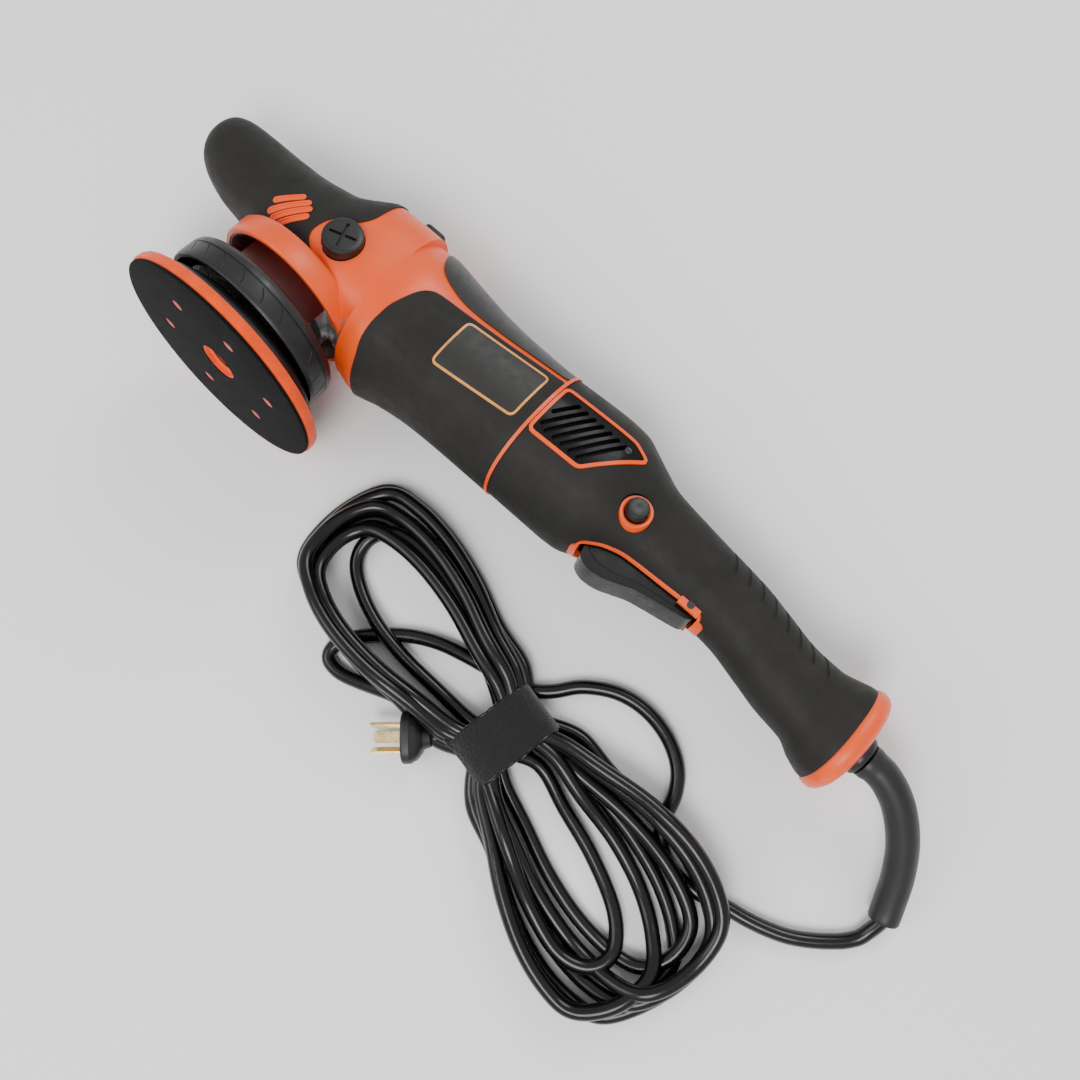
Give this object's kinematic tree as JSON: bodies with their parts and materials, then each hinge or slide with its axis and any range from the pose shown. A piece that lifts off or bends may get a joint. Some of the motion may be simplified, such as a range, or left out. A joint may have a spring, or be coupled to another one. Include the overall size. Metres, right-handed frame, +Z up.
{
  "type": "dual action polisher",
  "caption": "Corded dual action polisher with free-spinning backing plate on an eccentric, straight handle, paddle trigger and speed dial, lying beside its tied mains cord.",
  "frame": {"origin": "on the surface that the tool lies on, under the middle of the tool without its cord", "axes": "+Z up from that surface, +X along the tool towards its nose, +Y to the side of the backing plate, where the cord lies"},
  "size_m": [0.5356, 0.2582, 0.1196],
  "materials": {
    "orange_plastic": "satin moulded orange",
    "soft_rubber": "matte soft overmould",
    "black_plastic": "moulded black",
    "gloss_black": "glossy black",
    "sleeve_rubber": "smooth black rubber",
    "cast_aluminium": "cast",
    "bright_steel": "machined",
    "copper": "copper",
    "carbon": "carbon",
    "pin_brass": "brass",
    "orange_foam": "foam",
    "hook_pile": "hook pile",
    "cord_pvc": "glossy PVC",
    "woven_strap": "hook and loop webbing"
  },
  "bodies": {
    "root": {"front_bearing": "bright_steel", "rear_bearing": "bright_steel", "upper_spindle_bearing": "bright_steel", "lower_spindle_bearing": "bright_steel", "stator_core": "bright_steel", "brush_holder_left": "black_plastic", "carbon_brush_left": "carbon", "brush_holder_right": "black_plastic", "carbon_brush_right": "carbon", "gear_case": "cast_aluminium", "head_cover": "orange_plastic", "front_grip": "soft_rubber", "collar": "orange_plastic", "side_cap_left": "black_plastic", "side_cap_right": "black_plastic", "shroud": "black_plastic", "motor_housing": "soft_rubber", "seam_ring": "orange_plastic", "badge_plate_left": "black_plastic", "badge_plate_right": "black_plastic", "handle_shell_left": "soft_rubber", "handle_shell_right": "soft_rubber", "vent_frame_left": "orange_plastic", "vent_grille_left": "gloss_black", "vent_frame_right": "orange_plastic", "vent_grille_right": "gloss_black", "lock_button_ring": "orange_plastic", "speed_controller": "black_plastic", "trigger_bezel": "orange_plastic", "trigger_pin": "bright_steel", "switch_module": "black_plastic", "end_cap": "orange_plastic", "cable_gland": "black_plastic", "cord_clamp": "black_plastic", "cord_inner_end": "cord_pvc", "cable_sleeve": "sleeve_rubber", "cord_lead": "cord_pvc", "cord_hank": "cord_pvc", "cable_strap": "woven_strap", "plug_body": "gloss_black", "plug_pins": "pin_brass"},
    "drive": {"counterweight": "bright_steel", "spindle": "bright_steel", "bevel_gear": "bright_steel", "eccentric_bearing": "bright_steel"},
    "plate": {"backing_plate": "black_plastic", "foam_layer": "orange_foam", "hook_face": "hook_pile", "plate_bolt": "bright_steel", "plate_stud": "bright_steel"},
    "armature": {"armature_shaft": "bright_steel", "bevel_pinion": "bright_steel", "armature_core": "bright_steel", "armature_winding": "copper", "commutator": "copper", "cooling_fan": "black_plastic"},
    "trigger": {"trigger": "gloss_black"},
    "lock_on": {"lock_on_button": "black_plastic"},
    "spindle_lock": {"spindle_lock_button": "black_plastic"},
    "dial": {"speed_dial": "black_plastic"}
  },
  "joints": [
    {"name": "spindle_spin", "type": "hinge", "parent": "root", "child": "drive", "pos_m": [0.13653, -0.021, 0.0442], "axis": [0.0086, -0.9517, -0.3069], "continuous": true},
    {"name": "plate_spin", "type": "hinge", "parent": "drive", "child": "plate", "pos_m": [0.13621, 0.0384, 0.05548], "axis": [0.0086, -0.9517, -0.3069], "continuous": true},
    {"name": "armature_spin", "type": "hinge", "parent": "root", "child": "armature", "pos_m": [0.05656, -0.021, 0.04196], "axis": [0.9996, 0, 0.0281], "continuous": true},
    {"name": "trigger_pull", "type": "hinge", "parent": "root", "child": "trigger", "pos_m": [-0.12252, -0.00435, 0.0423], "axis": [0.0267, 0.307, -0.9513], "range_deg": [0, 5.5], "stiffness_Nm_per_rad": 2, "springref_deg": -5.73},
    {"name": "lock_on_press", "type": "slide", "parent": "root", "child": "lock_on", "axis": [0.0267, 0.307, -0.9513], "range_m": [0, 0.003], "stiffness_N_per_m": 800, "springref_m": -0.003},
    {"name": "spindle_lock_press", "type": "slide", "parent": "root", "child": "spindle_lock", "axis": [-0.0086, 0.9517, 0.3069], "range_m": [0, 0.004], "stiffness_N_per_m": 1000, "springref_m": -0.003},
    {"name": "dial_turn", "type": "hinge", "parent": "root", "child": "dial", "pos_m": [-0.04514, -0.04956, 0.02989], "axis": [-0.0267, -0.307, 0.9513], "range_deg": [-130, 130]}
  ],
  "couplings": [
    {"joint": "armature_spin", "follows": "spindle_spin", "ratio": -4}
  ]
}
